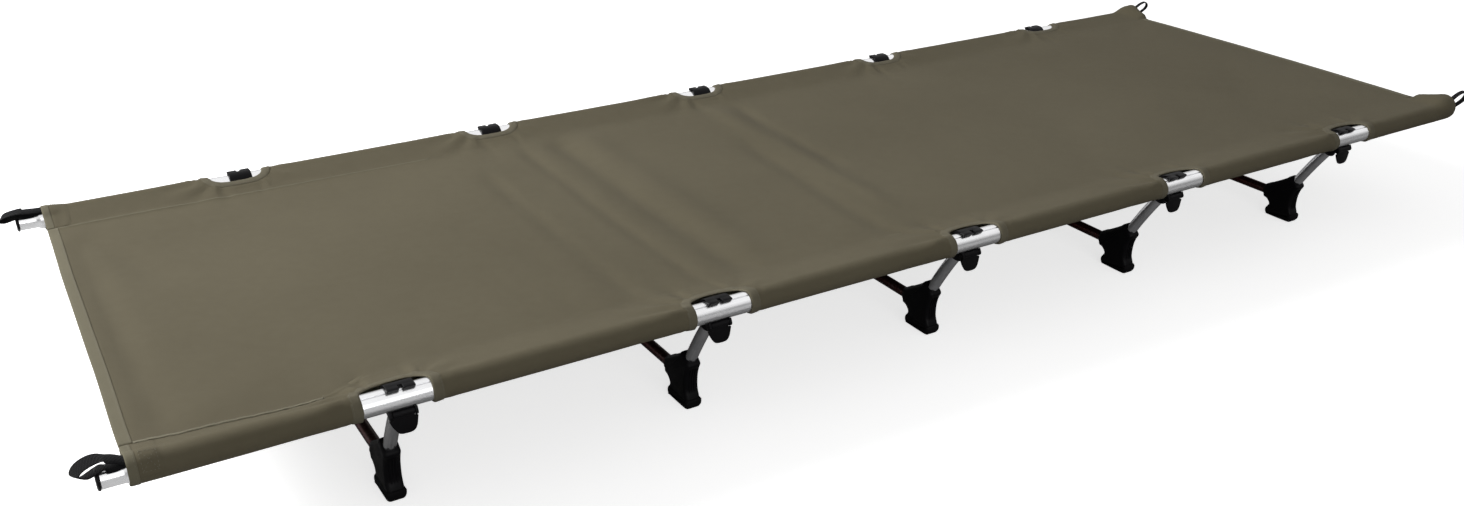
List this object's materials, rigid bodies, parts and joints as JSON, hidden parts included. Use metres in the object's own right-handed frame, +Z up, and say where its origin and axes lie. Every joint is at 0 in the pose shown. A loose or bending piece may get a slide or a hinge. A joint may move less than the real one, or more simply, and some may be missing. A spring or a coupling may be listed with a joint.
{
  "type": "camping cot",
  "caption": "Low camp bed: a stretched fabric sheet sleeved over sectional side rails, standing on crossbar leg sets that clip to the rails with cam levers.",
  "frame": {"origin": "on the floor under the middle of the bed, straps included", "axes": "+X along the bed towards the closed pocket ends, +Y across the bed to the far rail, +Z up"},
  "size_m": [2.0216, 0.6852, 0.1775],
  "materials": {
    "cover_fabric": "plain woven polyester, grey-green khaki, slightly coated, darker piping at the notches",
    "rail_aluminium": "bright polished and clear anodised tube",
    "upright_aluminium": "grey anodised tube, satin",
    "maroon_anodised": "very dark maroon anodised tube, semi-gloss",
    "black_nylon": "moulded glass-filled nylon, fine matt texture",
    "black_webbing": "flat woven polyester webbing, matt"
  },
  "bodies": {
    "cot_frame": {"bed_cover": "cover_fabric", "rail_near_1": "rail_aluminium", "rail_near_2": "rail_aluminium", "rail_near_3": "rail_aluminium", "rail_near_4": "rail_aluminium", "rail_near_5": "rail_aluminium", "rail_far_1": "rail_aluminium", "rail_far_2": "rail_aluminium", "rail_far_3": "rail_aluminium", "rail_far_4": "rail_aluminium", "rail_far_5": "rail_aluminium", "cross_pole_1": "maroon_anodised", "cross_pole_2": "maroon_anodised", "cross_pole_3": "maroon_anodised", "cross_pole_4": "maroon_anodised", "cross_pole_5": "maroon_anodised", "foot_near_1": "black_nylon", "upright_near_1": "upright_aluminium", "rail_clip_near_1": "black_nylon", "foot_near_2": "black_nylon", "upright_near_2": "upright_aluminium", "rail_clip_near_2": "black_nylon", "foot_near_3": "black_nylon", "upright_near_3": "upright_aluminium", "rail_clip_near_3": "black_nylon", "foot_near_4": "black_nylon", "upright_near_4": "upright_aluminium", "rail_clip_near_4": "black_nylon", "foot_near_5": "black_nylon", "upright_near_5": "upright_aluminium", "rail_clip_near_5": "black_nylon", "end_strap_left_near": "black_webbing", "end_strap_right_near": "black_webbing", "foot_far_1": "black_nylon", "upright_far_1": "upright_aluminium", "rail_clip_far_1": "black_nylon", "foot_far_2": "black_nylon", "upright_far_2": "upright_aluminium", "rail_clip_far_2": "black_nylon", "foot_far_3": "black_nylon", "upright_far_3": "upright_aluminium", "rail_clip_far_3": "black_nylon", "foot_far_4": "black_nylon", "upright_far_4": "upright_aluminium", "rail_clip_far_4": "black_nylon", "foot_far_5": "black_nylon", "upright_far_5": "upright_aluminium", "rail_clip_far_5": "black_nylon", "end_strap_left_far": "black_webbing", "end_strap_right_far": "black_webbing"},
    "lever_near_1": {"release_lever_near_1": "black_nylon"},
    "lever_near_2": {"release_lever_near_2": "black_nylon"},
    "lever_near_3": {"release_lever_near_3": "black_nylon"},
    "lever_near_4": {"release_lever_near_4": "black_nylon"},
    "lever_near_5": {"release_lever_near_5": "black_nylon"},
    "lever_far_1": {"release_lever_far_1": "black_nylon"},
    "lever_far_2": {"release_lever_far_2": "black_nylon"},
    "lever_far_3": {"release_lever_far_3": "black_nylon"},
    "lever_far_4": {"release_lever_far_4": "black_nylon"},
    "lever_far_5": {"release_lever_far_5": "black_nylon"}
  },
  "joints": [
    {"name": "lever_near_1_cam", "type": "hinge", "parent": "cot_frame", "child": "lever_near_1", "pos_m": [-0.717, -0.33425, 0.13863], "axis": [-1, 0, 0], "range_deg": [0, 60]},
    {"name": "lever_near_2_cam", "type": "hinge", "parent": "cot_frame", "child": "lever_near_2", "pos_m": [-0.3585, -0.33425, 0.13863], "axis": [-1, 0, 0], "range_deg": [0, 60]},
    {"name": "lever_near_3_cam", "type": "hinge", "parent": "cot_frame", "child": "lever_near_3", "pos_m": [0, -0.33425, 0.13863], "axis": [-1, 0, 0], "range_deg": [0, 60]},
    {"name": "lever_near_4_cam", "type": "hinge", "parent": "cot_frame", "child": "lever_near_4", "pos_m": [0.3585, -0.33425, 0.13863], "axis": [-1, 0, 0], "range_deg": [0, 60]},
    {"name": "lever_near_5_cam", "type": "hinge", "parent": "cot_frame", "child": "lever_near_5", "pos_m": [0.717, -0.33425, 0.13863], "axis": [-1, 0, 0], "range_deg": [0, 60]},
    {"name": "lever_far_1_cam", "type": "hinge", "parent": "cot_frame", "child": "lever_far_1", "pos_m": [-0.717, 0.33425, 0.13863], "axis": [1, 0, 0], "range_deg": [0, 60]},
    {"name": "lever_far_2_cam", "type": "hinge", "parent": "cot_frame", "child": "lever_far_2", "pos_m": [-0.3585, 0.33425, 0.13863], "axis": [1, 0, 0], "range_deg": [0, 60]},
    {"name": "lever_far_3_cam", "type": "hinge", "parent": "cot_frame", "child": "lever_far_3", "pos_m": [0, 0.33425, 0.13863], "axis": [1, 0, 0], "range_deg": [0, 60]},
    {"name": "lever_far_4_cam", "type": "hinge", "parent": "cot_frame", "child": "lever_far_4", "pos_m": [0.3585, 0.33425, 0.13863], "axis": [1, 0, 0], "range_deg": [0, 60]},
    {"name": "lever_far_5_cam", "type": "hinge", "parent": "cot_frame", "child": "lever_far_5", "pos_m": [0.717, 0.33425, 0.13863], "axis": [1, 0, 0], "range_deg": [0, 60]}
  ]
}
